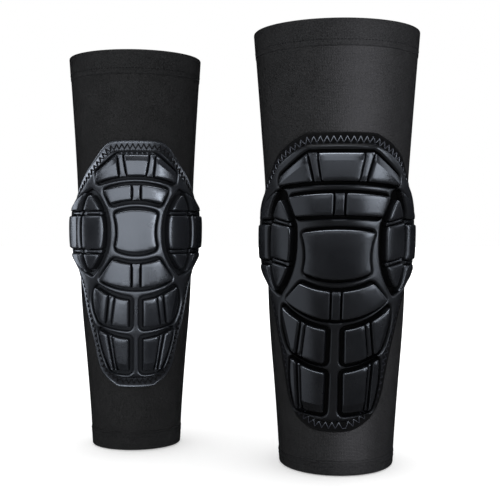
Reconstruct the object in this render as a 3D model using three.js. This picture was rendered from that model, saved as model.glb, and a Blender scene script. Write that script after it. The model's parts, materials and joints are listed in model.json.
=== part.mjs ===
// A pair of pull-on impact guards, a large one and a small one, standing upright in worn shape.
// Each is a tapered stretch-knit sleeve with a hem, a silicone grip strip at both ends, a seam down
// the back, a moulded rubber pad of separate plates on the front, and foam pads inside it.
//
// Every piece is modelled flat, as it is cut or moulded, and then wrapped round the limb:
// u runs across from the pad's centre line, v runs up, and n stands out from the sleeve's face.
// A guard's own frame has its axis on Z and its pad facing -Y. Millimetres and degrees.
import * as THREE from "three";

// Sleeve and trim
const SLEEVE_FACETS = 24;
const SLEEVE_STEP = 34; // height of one band of facets
const FABRIC = 1.5; // wall of the knit
const HEM_FOLD = 0.7; // extra cloth inside a hem
const HEM_PROUD = 0.3;
const GRIP = {
  inner: -3.9,
  outer: -2.9,
  top: { edge: 4, height: 11 }, // edge is the distance from the sleeve's end
  bottom: { edge: 2, height: 7.7 },
};
const SEAM = { inner: 0.5, outer: 1.2, halfWidth: 3, end: 2 };
const JOIN = 0.4; // gap between one piece and the next

// Moulded pad
const BASE = {
  inner: 1.1,
  rim: 2.3,
  deck: 3.8,
  rimWidth: 9,
  deckShare: 0.9, // width of the deck's top, as a share of the width at its foot
  deckCells: 10,
  widthStep: 5, // most that the outline's half-width changes from one level to the next
  levelGap: 2, // closest that a level comes to the end of a strip
};
const PLATE_FLOOR = 4.4; // underside of every plate
const PLATE_EDGE = 6.4; // height where a plate's wall meets its rounded top
const PLATE_FACET = 10; // widest facet of a plate, in degrees round the limb
const LEAST_STEP = 0.2; // narrowest facet of a plate, as a share of a column
const COLUMN_EDGE = 0.07; // share of a column that its sloped wall takes
const LOWER_BEVEL = 0.12; // share of a plate's height that its lower slope takes
const UPPER_BEVEL = 0.14;
const BROW_BEVEL = 0.35;
const WING = {
  notch: 1.2, // half-width of the bottom of a cut across a wing
  notchDepth: 0.4, // below a plate's edge
  tipHalf: 0.8,
  fullness: 2.6, // power of the leaf's outline: higher is squarer
  rim: 0.1, // share of the width that the sloped wall takes
  tipWall: 0.05, // shares of the height where the tip's wall ends and its slope ends
  tipSlope: 0.12,
};
const FOAM = {
  inner: -7.4,
  outer: -2.4,
  beyondKneecap: 6, // wider than half the kneecap plate
  narrowing: 4, // the lower pad is this much narrower
  hingeGap: 18, // the foam is split widely at the hinges, so that it can fold
  margin: 14, // in from the ends of the pad's base
  stepAcross: 12,
  stepUp: 26,
};

// Knee bend: two equal hinges, above and below the kneecap plate
const PIVOT_DEPTH = 28; // behind the kneecap plate's face
const FLEX_HALF = 65; // the soft middle of the sleeve reaches this far from the kneecap's centre
const BASE_HALF = 50; // and the soft middle of the pad's base this far

// sections: height, half-width, and depth over width. flange: half-width and height, bottom to top.
// Plates: columns are the lines across a plate's lower and upper edge; end and mid are an edge's
// height at its ends and on the centre line; tall and rib are heights above the sleeve.
const LARGE = {
  name: "large",
  axis: [79.05, -26.31],
  turn: -4,
  twist: 0.033, // degrees of turn for each millimetre of height
  height: 340,
  middle: 167.5,
  hingeGap: 22.5,
  hems: { bottom: 11, top: 20 },
  sections: [
    [0, 45, 1.12], [30, 46.9, 1.1], [68, 49.7, 1.08], [96, 52, 1.06], [123, 53.7, 1.05],
    [170, 54.9, 1.04], [222, 56.8, 1.02], [268, 60, 0.99], [340, 65.5, 0.96],
  ],
  flange: [
    [10, 34], [20, 37.5], [29, 44], [36, 54], [40, 66], [42.5, 78], [46.5, 93], [51, 106],
    [58, 124], [66, 138], [76, 150], [84, 161], [86, 174], [84, 200], [80, 209], [72, 219],
    [63, 228], [54, 240], [42, 249], [31, 254.5], [22, 256.7],
  ],
  brow: {
    lower: { columns: [44, 17.5, 12.3], end: 217, mid: 220.3 },
    upper: { columns: [44.5, 23, 16], shoulder: 225, top: 242 },
    tall: 10, rib: 6.5,
  },
  upperArch: {
    lower: { columns: [28.8, 3.6], end: 194, mid: 195.2 },
    upper: { columns: [35, 3.6], end: 209.5, mid: 212.2 },
    tall: 11, rib: 9,
  },
  kneecap: {
    lower: { columns: [21], end: 153, mid: 147.9 },
    upper: { columns: [23], end: 183, mid: 185.6 },
    waist: 2.4, tall: 12,
  },
  lowerArch: {
    lower: { columns: [35.5, 3.4], end: 132.5, mid: 118.3 },
    upper: { columns: [24, 3.4], end: 146, mid: 140 },
    tall: 11, rib: 9,
  },
  shin: {
    lower: { columns: [31, 25.6, 21.5, 6], end: 95, mid: 85.5 },
    upper: { columns: [38.2, 23, 19.2, 5.6], end: 128, mid: 111.5 },
    bulge: 3, tall: 10, rib: 8,
  },
  shinEnd: {
    lower: { columns: [24.5, 23.5, 21.5, 5.9], end: 51, mid: 48.3 },
    upper: { columns: [30, 25.4, 22.3, 5.5], end: 89.5, mid: 79.5 },
    bulge: 2, tall: 9.5, rib: 7.5,
  },
  innerWing: {
    bottom: 141.3, top: 208, tip: 42.3, inside: -9.2, outside: 7.6, splits: [159, 189], tall: 9,
  },
  outerWing: {
    bottom: 138, top: 214.6, tip: 45.5, inside: 9.6, outside: 26.5, splits: [160, 191], tall: 7.8,
  },
};
const SMALL = {
  name: "small",
  axis: [-88.85, 39.69],
  turn: 7,
  twist: 0.007,
  height: 331,
  middle: 183.2,
  hingeGap: 21.5,
  hems: { bottom: 15.5, top: 19.5 },
  sections: [
    [0, 37.6, 0.92], [30, 39.3, 0.95], [73, 42.5, 1.0], [122, 46.6, 1.03], [170, 48.5, 1.04],
    [228, 50, 1.02], [252, 51.2, 1.0], [331, 56.1, 0.98],
  ],
  flange: [
    [12, 54.5], [18, 57], [26, 63], [32, 71], [36, 84], [39.5, 96], [44, 108], [48, 120],
    [53, 136], [62, 147], [74, 159], [80, 172], [80, 195], [73, 208], [63, 216], [55, 223],
    [49, 229.5], [40, 238.5], [32, 247], [26, 254], [20, 257.5],
  ],
  brow: {
    lower: { columns: [29.5, 12, 6.8], end: 222.5, mid: 227.9 },
    upper: { columns: [31, 14, 9.5], shoulder: 232, top: 246 },
    tall: 10, rib: 6.5,
  },
  upperArch: {
    lower: { columns: [18, 3], end: 205.2, mid: 208.4 },
    upper: { columns: [23.4, 3], end: 217, mid: 221.3 },
    tall: 11, rib: 9,
  },
  kneecap: {
    lower: { columns: [14.7], end: 169.5, mid: 165.8 },
    upper: { columns: [15.3], end: 198, mid: 201.1 },
    waist: 2, tall: 12,
  },
  lowerArch: {
    lower: { columns: [27, 3], end: 144, mid: 137.1 },
    upper: { columns: [16.5, 3], end: 161, mid: 157.6 },
    tall: 11, rib: 9,
  },
  shin: {
    lower: { columns: [27.2, 21.7, 17.3, 4.6], end: 108.7, mid: 104.5 },
    upper: { columns: [30.5, 19.3, 14.7, 4.4], end: 138.3, mid: 128 },
    bulge: 5, tall: 10, rib: 8,
  },
  shinEnd: {
    lower: { columns: [17, 16, 15, 4.6], end: 69, mid: 67.8 },
    upper: { columns: [27.6, 20.4, 17, 4.5], end: 103.3, mid: 95.8 },
    bulge: 1.5, tall: 9.5, rib: 7.5,
  },
  innerWing: {
    bottom: 151.7, top: 214, tip: 35, inside: -11.2, outside: 7.2, splits: [167, 198.5], tall: 9.5,
  },
  outerWing: {
    bottom: 149, top: 216, tip: 38, inside: 9.6, outside: 29.5, splits: [167, 198.5], tall: 9,
  },
};

// Materials: black knit, satin rubber, gloss plates, clear-grey silicone, dark foam
const FINISH = {
  knit: { color: 0x17181a, roughness: 0.85, metalness: 0 },
  rubber: { color: 0x1b1c1f, roughness: 0.5, metalness: 0 },
  plate: { color: 0x232529, roughness: 0.32, metalness: 0 },
  silicone: { color: 0x5a5c60, roughness: 0.45, metalness: 0 },
  foam: { color: 0x26272a, roughness: 0.95, metalness: 0 },
};

const lerp = THREE.MathUtils.lerp;
const radians = THREE.MathUtils.degToRad;

// Linear reading of a table whose rows start with the key.
function readTable(table, key, column) {
  const last = table.length - 1;
  if (key <= table[0][0]) return table[0][column];
  if (key >= table[last][0]) return table[last][column];
  const i = table.findIndex((row) => row[0] > key) - 1;
  const share = (key - table[i][0]) / (table[i + 1][0] - table[i][0]);
  return lerp(table[i][column], table[i + 1][column], share);
}

// Evenly spaced numbers from a to b, both included, no further apart than step.
function spread(a, b, step) {
  const count = Math.max(1, Math.ceil(Math.abs(b - a) / step - 1e-6));
  return Array.from({ length: count + 1 }, (_, i) => lerp(a, b, i / count));
}

// A sorted list of stations that holds every break and no wider step than asked.
function stations(breaks, step) {
  const list = [breaks[0]];
  for (let i = 1; i < breaks.length; i++) {
    list.push(...spread(breaks[i - 1], breaks[i], step).slice(1));
  }
  return list;
}

// A point of the guard at an angle from the pad's centre line, a height v, and n out of the sleeve.
function onLimb(guard, angle, v, n) {
  const halfWidth = readTable(guard.sections, v, 1);
  const halfDepth = halfWidth * readTable(guard.sections, v, 2);
  const phi = angle + radians(guard.twist * (v - guard.middle));
  const outward = new THREE.Vector2(halfDepth * Math.sin(phi), -halfWidth * Math.cos(phi)).normalize();
  return [
    halfWidth * Math.sin(phi) + n * outward.x,
    -halfDepth * Math.cos(phi) + n * outward.y,
    v,
  ];
}

// Moves every vertex of a geometry with place(x, y, z) and drops what no longer holds.
function reshape(geometry, place) {
  const position = geometry.getAttribute("position");
  for (let i = 0; i < position.count; i++) {
    position.setXYZ(i, ...place(position.getX(i), position.getY(i), position.getZ(i)));
  }
  geometry.deleteAttribute("uv");
  geometry.computeVertexNormals();
  return geometry;
}

// A closed patch of the pad or lining: a flat block of cells, wrapped round the limb.
// pattern(s, t) gives [u, v] for a station across and one up; inner and outer give n there.
function patch(guard, across, up, pattern, inner, outer, facing = 0) {
  const columns = across.length - 1;
  const rows = up.length - 1;
  return reshape(new THREE.BoxGeometry(columns, rows, 1, columns, rows, 1), (x, y, z) => {
    const s = across[Math.round(x + columns / 2)];
    const t = up[Math.round(y + rows / 2)];
    const [u, v] = pattern(s, t);
    const angle = u / readTable(guard.sections, v, 1) + radians(facing);
    return onLimb(guard, angle, v, z > 0 ? outer(s, t) : inner);
  });
}

// A closed tube round the limb between two heights, from n = inner to n = outer.
function tube(guard, bottom, top, inner, outer) {
  const nominal = 100; // radius of the round tube before it takes the limb's shape
  const levels = spread(bottom, top, SLEEVE_STEP);
  const profile = [
    ...levels.map((v) => new THREE.Vector2(nominal + outer, v)),
    ...levels.toReversed().map((v) => new THREE.Vector2(nominal + inner, v)),
    new THREE.Vector2(nominal + outer, bottom),
  ];
  return reshape(new THREE.LatheGeometry(profile, SLEEVE_FACETS), (x, y, z) =>
    onLimb(guard, Math.atan2(x, z), y, Math.hypot(x, z) - nominal),
  );
}

// A strip of the pad's base between two heights: a thin sewn rim round a raised deck.
function basePanel(guard, bottom, top) {
  const outline = guard.flange.map(([halfWidth, v]) => [v, halfWidth]);
  const lowest = outline[0][0];
  const highest = outline.at(-1)[0];
  const levels = [lowest];
  for (let i = 1; i < outline.length; i++) {
    const [from, to] = [outline[i - 1], outline[i]];
    const bands = Math.ceil(Math.abs(to[1] - from[1]) / BASE.widthStep);
    levels.push(...spread(from[0], to[0], (to[0] - from[0]) / bands).slice(1));
  }
  const inside = levels.filter((v) => v > bottom + BASE.levelGap && v < top - BASE.levelGap);
  const foot = 2; // station of the deck's foot; the deck's top runs from -1 to 1
  const edge = 3; // station of the rim's outer edge
  const across = [-edge, -foot, ...spread(-1, 1, 2 / BASE.deckCells), foot, edge];
  return patch(
    guard,
    across,
    [bottom, ...inside, top],
    (s, v) => {
      const halfWidth = readTable(outline, v, 1);
      const footHalf = Math.max(halfWidth - BASE.rimWidth, 1);
      if (Math.abs(s) === edge) return [Math.sign(s) * halfWidth, v];
      return [Math.abs(s) === foot ? Math.sign(s) * footHalf : s * BASE.deckShare * footHalf, v];
    },
    BASE.inner,
    (s, v) => {
      const nearEnd = v - lowest < BASE.rimWidth || highest - v < BASE.rimWidth;
      return Math.abs(s) > 1 || nearEnd ? BASE.rim : BASE.deck;
    },
  );
}

// Heights across a plate of several columns: [station, height], with a sloped wall at each edge.
function columnHeights(heights) {
  const list = [[0, PLATE_EDGE]];
  heights.forEach((height, i) => {
    list.push([i + COLUMN_EDGE, height], [i + 1 - COLUMN_EDGE, height]);
  });
  list.push([heights.length, PLATE_EDGE]);
  return list;
}

// Height of an edge that bows between its ends: end at u = half, mid on the centre line.
function bowedEdge({ end, mid }, half) {
  return (u) => mid + (end - mid) * (u / half) ** 2;
}

// A plate made of columns. lower and upper list the u of each column line, left to right, and
// bow(s, t) is how far a point moves to the right.
function columnPlate(guard, lower, upper, lowerEdge, upperEdge, heights, bow, bevel = UPPER_BEVEL) {
  const profile = columnHeights(heights);
  const lines = upper.map((u, i) => [i, lower[i], u]);
  const widest = Math.max(...upper.map((u, i) => Math.max(Math.abs(u), Math.abs(lower[i]))));
  const columnWidth = (2 * widest) / heights.length;
  const narrowest = readTable(guard.sections, lowerEdge(0), 1);
  const step = (radians(PLATE_FACET) * narrowest) / columnWidth;
  const walls = [0, LOWER_BEVEL, 1 - bevel, 1];
  const shares = [PLATE_EDGE / heights[0], 1, 1, PLATE_EDGE / heights[0]];
  return patch(
    guard,
    stations(profile.map((row) => row[0]), Math.max(step, LEAST_STEP)),
    walls,
    (s, t) => {
      const low = readTable(lines, s, 1);
      const high = readTable(lines, s, 2);
      const u = lerp(low, high, t) + bow(s, t);
      return [u, lerp(lowerEdge(low), upperEdge(high), t)];
    },
    PLATE_FLOOR,
    (s, t) => Math.max(readTable(profile, s, 1) * shares[walls.indexOf(t)], PLATE_EDGE),
  );
}

// [a, b] becomes [-a, -b, b, a]: the column lines of a plate that sits across the centre line.
const mirrored = (columns) => [...columns.map((u) => -u), ...columns.toReversed()];

// A plate across the centre line, such as an arch or the kneecap.
function archPlate(guard, { lower, upper, tall, rib, waist = 0 }) {
  const heights = lower.columns.length > 1 ? [tall, rib, tall] : [tall];
  const count = heights.length;
  return columnPlate(
    guard,
    mirrored(lower.columns),
    mirrored(upper.columns),
    bowedEdge(lower, lower.columns[0]),
    bowedEdge(upper, upper.columns[0]),
    heights,
    (s, t) => waist * (1 - (2 * s) / count) * 4 * t * (1 - t),
  );
}

// The brow: three facets and two ribs, with a flat top and sloping shoulders.
function browPlate(guard, { lower, upper, tall, rib }) {
  const [outer, corner] = upper.columns;
  const shoulder = (u) => {
    const beyond = Math.max(Math.abs(u) - corner, 0) / (outer - corner);
    return lerp(upper.top, upper.shoulder, beyond);
  };
  return columnPlate(
    guard,
    mirrored(lower.columns),
    mirrored(upper.columns),
    bowedEdge(lower, lower.columns[0]),
    shoulder,
    [tall, rib, tall, rib, tall],
    () => 0,
    BROW_BEVEL,
  );
}

// A plate on one side of the centre line, in three columns; side is -1 for left, 1 for right.
function sidePlate(guard, side, { lower, upper, bulge, tall, rib }) {
  const toSide = (columns) => {
    const signed = columns.map((u) => side * u);
    return side < 0 ? signed : signed.toReversed();
  };
  const outermost = side < 0 ? 0 : 3;
  return columnPlate(
    guard,
    toSide(lower.columns),
    toSide(upper.columns),
    bowedEdge(lower, lower.columns[0]),
    bowedEdge(upper, upper.columns[0]),
    [tall, rib, tall],
    (s, t) => side * bulge * Math.max(1 - Math.abs(s - outermost), 0) * 4 * t * (1 - t),
  );
}

// A leaf-shaped plate on the guard's flank, cut across at two heights.
function wingPlate(guard, side, { bottom, top, tip, inside, outside, splits, tall }) {
  const cutBottom = PLATE_EDGE - WING.notchDepth;
  const toShare = (v) => (v - bottom) / (top - bottom);
  const profile = [
    [0, cutBottom],
    [WING.tipWall, PLATE_EDGE],
    [WING.tipSlope, tall],
    ...splits.flatMap((v) => [
      [toShare(v - 2 * WING.notch), tall],
      [toShare(v - WING.notch), cutBottom],
      [toShare(v + WING.notch), cutBottom],
      [toShare(v + 2 * WING.notch), tall],
    ]),
    [1 - WING.tipSlope, tall],
    [1 - WING.tipWall, PLATE_EDGE],
    [1, cutBottom],
  ];
  const step = (radians(PLATE_FACET) * tip) / (outside - inside);
  return patch(
    guard,
    stations([0, WING.rim, 1 - WING.rim, 1], step),
    profile.map((row) => row[0]),
    (s, t) => {
      const swell = 1 - Math.abs(2 * t - 1) ** WING.fullness;
      const outward = side > 0 ? s : 1 - s;
      const leaf = swell * lerp(inside, outside, outward);
      return [side * (tip + lerp(-WING.tipHalf, WING.tipHalf, outward) + leaf), lerp(bottom, top, t)];
    },
    PLATE_FLOOR,
    (s, t) => (s === 0 || s === 1 ? cutBottom : readTable(profile, t, 1)),
  );
}

// A foam pad inside the sleeve, behind the moulded pad.
function foamPanel(guard, halfWidth, bottom, top) {
  return patch(
    guard,
    spread(-halfWidth, halfWidth, FOAM.stepAcross),
    spread(bottom, top, FOAM.stepUp),
    (u, v) => [u, v],
    FOAM.inner,
    () => FOAM.outer,
  );
}

// The sewn tape down the back of the sleeve.
function seamTape(guard, bottom, top) {
  return patch(
    guard,
    [-SEAM.halfWidth, SEAM.halfWidth],
    spread(bottom, top, SLEEVE_STEP),
    (u, v) => [u, v],
    SEAM.inner,
    () => SEAM.outer,
    180,
  );
}

// All the pieces of one guard, by the body that each belongs to.
function guardPieces(guard) {
  const { height, middle, hems } = guard;
  const [flexLow, flexHigh] = [middle - FLEX_HALF, middle + FLEX_HALF];
  const [baseLow, baseHigh] = [middle - BASE_HALF, middle + BASE_HALF];
  const baseBottom = guard.flange[0][1];
  const baseTop = guard.flange.at(-1)[1];
  const hemInner = -FABRIC - HEM_FOLD;
  const hemTop = height - hems.top;
  const foamHalf = guard.kneecap.upper.columns[0] + FOAM.beyondKneecap;
  const foamBottom = baseBottom + FOAM.margin;
  const foamTop = baseTop - FOAM.margin;
  const hingeLow = middle - guard.hingeGap;
  const hingeHigh = middle + guard.hingeGap;
  const gripTop = height - GRIP.top.edge;
  return {
    lower: [
      ["sleeve_lower", "knit", tube(guard, hems.bottom + JOIN, flexLow - JOIN, -FABRIC, 0)],
      ["bottom_hem", "knit", tube(guard, 0, hems.bottom, hemInner, HEM_PROUD)],
      ["bottom_grip_strip", "silicone",
        tube(guard, GRIP.bottom.edge, GRIP.bottom.edge + GRIP.bottom.height, GRIP.inner, GRIP.outer)],
      ["back_seam_lower", "knit", seamTape(guard, SEAM.end, flexLow - JOIN)],
      ["pad_base_lower", "rubber", basePanel(guard, baseBottom, baseLow - JOIN)],
      ["foam_lower", "foam",
        foamPanel(guard, foamHalf - FOAM.narrowing, foamBottom, hingeLow - FOAM.hingeGap)],
      ["lower_arch_plate", "plate", archPlate(guard, guard.lowerArch)],
      ["shin_plate_left", "plate", sidePlate(guard, -1, guard.shin)],
      ["shin_plate_right", "plate", sidePlate(guard, 1, guard.shin)],
      ["shin_end_plate_left", "plate", sidePlate(guard, -1, guard.shinEnd)],
      ["shin_end_plate_right", "plate", sidePlate(guard, 1, guard.shinEnd)],
    ],
    knee: [
      ["sleeve_knee", "knit", tube(guard, flexLow, flexHigh, -FABRIC, 0)],
      ["back_seam_knee", "knit", seamTape(guard, flexLow, flexHigh)],
      ["pad_base_knee", "rubber", basePanel(guard, baseLow, baseHigh)],
      ["foam_knee", "foam", foamPanel(guard, foamHalf, hingeLow, hingeHigh)],
      ["kneecap_plate", "plate", archPlate(guard, guard.kneecap)],
      ["inner_wing_left", "plate", wingPlate(guard, -1, guard.innerWing)],
      ["inner_wing_right", "plate", wingPlate(guard, 1, guard.innerWing)],
      ["outer_wing_left", "plate", wingPlate(guard, -1, guard.outerWing)],
      ["outer_wing_right", "plate", wingPlate(guard, 1, guard.outerWing)],
    ],
    upper: [
      ["sleeve_upper", "knit", tube(guard, flexHigh + JOIN, hemTop - JOIN, -FABRIC, 0)],
      ["top_hem", "knit", tube(guard, hemTop, height, hemInner, HEM_PROUD)],
      ["top_grip_strip", "silicone",
        tube(guard, gripTop - GRIP.top.height, gripTop, GRIP.inner, GRIP.outer)],
      ["back_seam_upper", "knit", seamTape(guard, flexHigh + JOIN, height - SEAM.end)],
      ["pad_base_upper", "rubber", basePanel(guard, baseHigh + JOIN, baseTop)],
      ["foam_upper", "foam", foamPanel(guard, foamHalf, hingeHigh + FOAM.hingeGap, foamTop)],
      ["brow_plate", "plate", browPlate(guard, guard.brow)],
      ["upper_arch_plate", "plate", archPlate(guard, guard.upperArch)],
    ],
  };
}

// One guard as a chain of bodies: the shin end, the kneecap hinged on it, and the thigh end
// hinged on that. A hinge group's origin is its pivot, and it turns about the guard's X.
function buildGuard(guard) {
  const whole = new THREE.Group();
  const kneecapFace = onLimb({ ...guard, twist: 0 }, 0, guard.middle, guard.kneecap.tall)[1];
  const pivotY = kneecapFace + PIVOT_DEPTH;
  const bodies = { lower: new THREE.Group(), knee: new THREE.Group(), upper: new THREE.Group() };
  bodies.lower.name = `${guard.name}_lower_body`;
  bodies.knee.name = `${guard.name}_lower_hinge`;
  bodies.upper.name = `${guard.name}_upper_hinge`;
  bodies.knee.position.set(0, pivotY, guard.middle - guard.hingeGap);
  bodies.upper.position.set(0, 0, 2 * guard.hingeGap);
  whole.add(bodies.lower);
  bodies.lower.add(bodies.knee);
  bodies.knee.add(bodies.upper);
  for (const [body, pieces] of Object.entries(guardPieces(guard))) {
    for (const [name, finish, geometry] of pieces) {
      const mesh = new THREE.Mesh(geometry, new THREE.MeshStandardMaterial(FINISH[finish]));
      mesh.name = `${guard.name}_${name}`;
      bodies[body].attach(mesh);
    }
  }
  whole.position.set(guard.axis[0], guard.axis[1], 0);
  whole.rotation.z = radians(guard.turn);
  return whole;
}

const guards = new THREE.Group();
guards.add(buildGuard(LARGE), buildGuard(SMALL));

export default guards;
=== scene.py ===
"""A pair of pull-on impact guards: ribbed knit sleeves, each with a moulded rubber pad on its front.

Everything on a guard is drawn in its pattern first, in millimetres, and then wrapped round the limb:
u runs across from the pad's centre line, v runs up, and n stands out from the sleeve's face.
"""
import json
import math

import bmesh
import bpy
import numpy as np
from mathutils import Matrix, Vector
from mathutils.geometry import delaunay_2d_cdt


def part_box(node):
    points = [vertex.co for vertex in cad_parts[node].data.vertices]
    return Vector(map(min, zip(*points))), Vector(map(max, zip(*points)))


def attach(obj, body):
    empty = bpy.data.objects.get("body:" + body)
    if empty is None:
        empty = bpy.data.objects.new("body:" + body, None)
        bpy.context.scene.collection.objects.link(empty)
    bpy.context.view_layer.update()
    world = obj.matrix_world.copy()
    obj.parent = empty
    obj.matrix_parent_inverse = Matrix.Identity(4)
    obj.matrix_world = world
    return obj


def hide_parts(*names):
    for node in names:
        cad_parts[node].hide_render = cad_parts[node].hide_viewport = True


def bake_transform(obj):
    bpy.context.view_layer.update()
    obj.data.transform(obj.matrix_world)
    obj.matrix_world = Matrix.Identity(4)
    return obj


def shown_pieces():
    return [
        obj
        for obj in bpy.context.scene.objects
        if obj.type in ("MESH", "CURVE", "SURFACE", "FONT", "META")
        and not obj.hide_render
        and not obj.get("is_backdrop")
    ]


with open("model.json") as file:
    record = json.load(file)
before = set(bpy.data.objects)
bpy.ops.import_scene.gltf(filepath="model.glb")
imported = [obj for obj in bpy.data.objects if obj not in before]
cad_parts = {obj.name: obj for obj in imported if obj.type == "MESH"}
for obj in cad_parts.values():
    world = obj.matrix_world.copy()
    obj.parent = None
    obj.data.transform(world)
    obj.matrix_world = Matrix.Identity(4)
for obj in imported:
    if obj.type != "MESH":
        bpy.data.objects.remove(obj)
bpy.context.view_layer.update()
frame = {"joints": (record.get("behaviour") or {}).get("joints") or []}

MM = 0.001
EDGE_ANGLE = math.radians(34)  # a bend between two faces that is sharper than this shows as an edge
RIM_ANGLE = math.radians(50)  # the same for the sleeve, the hems and the grip bands

# -------- driving dimensions, millimetres

FABRIC = 1.5
GRIP = {"inner": -3.7, "outer": -2.95, "edge": 4, "height": 11, "low": 2, "low_height": 7.7}
GRIP_BEAD = 0.75  # how far the beads of a grip band stand inwards
HEM_FOLD = {"thick": 0.7, "proud": 0.3, "off": 0.2}  # off is from the fold's end to the sleeve's
STRETCH = 0.88  # the cloth is cut this much narrower than the limb
HEM_STITCH = {"pitch": 2.6, "length": 1.5, "lift": 0.16, "radius": 0.2}
STITCH_ROWS = {"bottom": (1.6, 4.6), "top": (-4.4,)}  # below the end of each hem's fold
SEAM_SECTION = [  # of the tape over the back seam: across it and out of the sleeve
    (-3, 0.25), (-2.6, 0.8), (-1.5, 1.05), (0, 1.12), (1.5, 1.05), (2.6, 0.8), (3, 0.25),
    (2, -0.2), (-2, -0.2),
]
SEAM_STEP = 0.35  # the back seam lies this much higher where it crosses a hem
SEAM_THREAD = {"pitch": 2.0, "reach": 2.5, "lean": 0.8, "base": 0.75, "lift": 0.42, "radius": 0.24}
# edges and walls as (inwards from the outline, out of the sleeve), from the bottom up
FOAM_EDGE = [(1.2, -6.4), (0.3, -5.8), (0, -5.0), (0, -4.4), (0.3, -3.6), (1.2, -3.0)]
FOAM_FACES = (-6.5, -2.9)
FOAM_WIDER = 5  # than the kneecap, on each side
FOAM_NARROWING = 4  # of the lowest pad, on each side
FOAM_MARGIN = 15  # from the flange's ends
FOAM_HINGE = 19  # from the knee pad to the pads beyond it, so that they don't meet in a bend
FOAM_SWELL = {"grid": 2.6, "pressure": 4, "frames": 20, "reach": 1.2}
CHANNEL = {"spacing": 16, "depth": 1.1, "width": 1.4}  # sewn lines across a foam pad
HALVES = {"thigh": ("upper", "knee"), "calf": ("lower",)}  # and the bodies of their CAD nodes
HANDS = ((-1, "left"), (1, "right"))
AROUND = 144  # points round a sleeve

FLANGE_EDGE = [
    (0, 0.6), (0, 1.2), (0.25, 1.65), (0.7, 1.85), (1.2, 1.72), (1.7, 1.6), (2.6, 1.68),
    (4.2, 1.88), (5.8, 2.1), (7.4, 2.32),
]
DECK_INSET = 8.2
DECK_ROOM = {"edge": (0.26, 1), "pocket": (0.44, 1.9)}  # share of the room, and its limit
# the deck's outer slope and its pockets' walls, as (share of the room, height under DECK_HIGH)
DECK_SLOPE = [(0, -4.4), (0.3, -3.1), (0.8, -1.8), (1.5, -0.8), (2.3, -0.2), (3.0, 0)]
DECK_HIGH = 6.4
DECK_RIM = [(0, -4.6), (0.12, -1.3), (0.3, -0.72), (0.5, -0.34), (0.75, -0.09), (1.0, 0)]
GROOVE = {  # from a plate's outline to the wall of its pocket
    "brow": 1.7, "upper_arch": 1.9, "kneecap": 1.6, "lower_arch": 1.7, "shin": 2.3, "shin_end": 2.3,
}
COLUMN_GAP = 0.5  # half of the groove between two columns of a plate
CORNERS = {  # radii
    "facet": 1.9, "kneecap": 3.2, "rib": 0.9, "wing": 1.8, "wing_rib": 0.6,
    "pocket": 2.6, "side_pocket": 2.4, "wing_pocket": 3.0, "foam": 9,
}
SPACING = {  # between the points of an outline, or of a filled face
    "block": 1.1, "block_top": 2.6, "crease": 1.6, "pocket": 1.3, "wing_pocket": 1.4,
    "flange": 2.0, "flange_top": 4.0, "deck": 1.6, "deck_top": 3.4, "foam": 3.0, "foam_face": 5.0,
    "hidden": 6.0,
}
DRAFT = 0.4
BLOCK_FLOOR = 1.9
ROUND = 1.3  # radius of a block's rounded top edge
WALL_RING = 0.6  # from the foot and from the edge of a block's wall to a ring of points
EDGE_RINGS = (0.0, 0.09, 0.3, 0.6, 1.0)  # shares of that radius at which a ring of points lies
WEAR_REACH = 1.6 * ROUND  # from a block's outline to where its rubbed edge ends
CROWN = 0.09
CROWN_REACH = 9
BEVEL_SLOPE = {"brow": 0.42, "shin": 0.5, "toe": 0.42, "wing": 0.55}
SHIN_BEVEL = (0.35, 0.08)  # where its line starts and ends, as shares of the block's width
TOE_BEVEL = (6.5, 7.5)  # how far above the block's lower corners its line runs
WING_RIB = 1.5  # half of a wing rib's height
WING_GROOVE = 0.25  # between a wing's rib and the blocks beside it
WING_GAP, WING_RIB_GAP = 0.4, 0.25  # from those outlines to the blocks themselves
WING_END = 0.6  # from a wing's tips to its blocks
WING_TIP = 0.8  # half of a wing's width at its tips
WING_RIB_DROP = {"inner_wing": 1.6, "outer_wing": 2.8}  # from a block's top to a rib's
WING_CHAMFER = {"wide": 3.2, "narrow": 0.9}  # of an outer wing's inner edge: at a cut, at a tip

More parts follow.
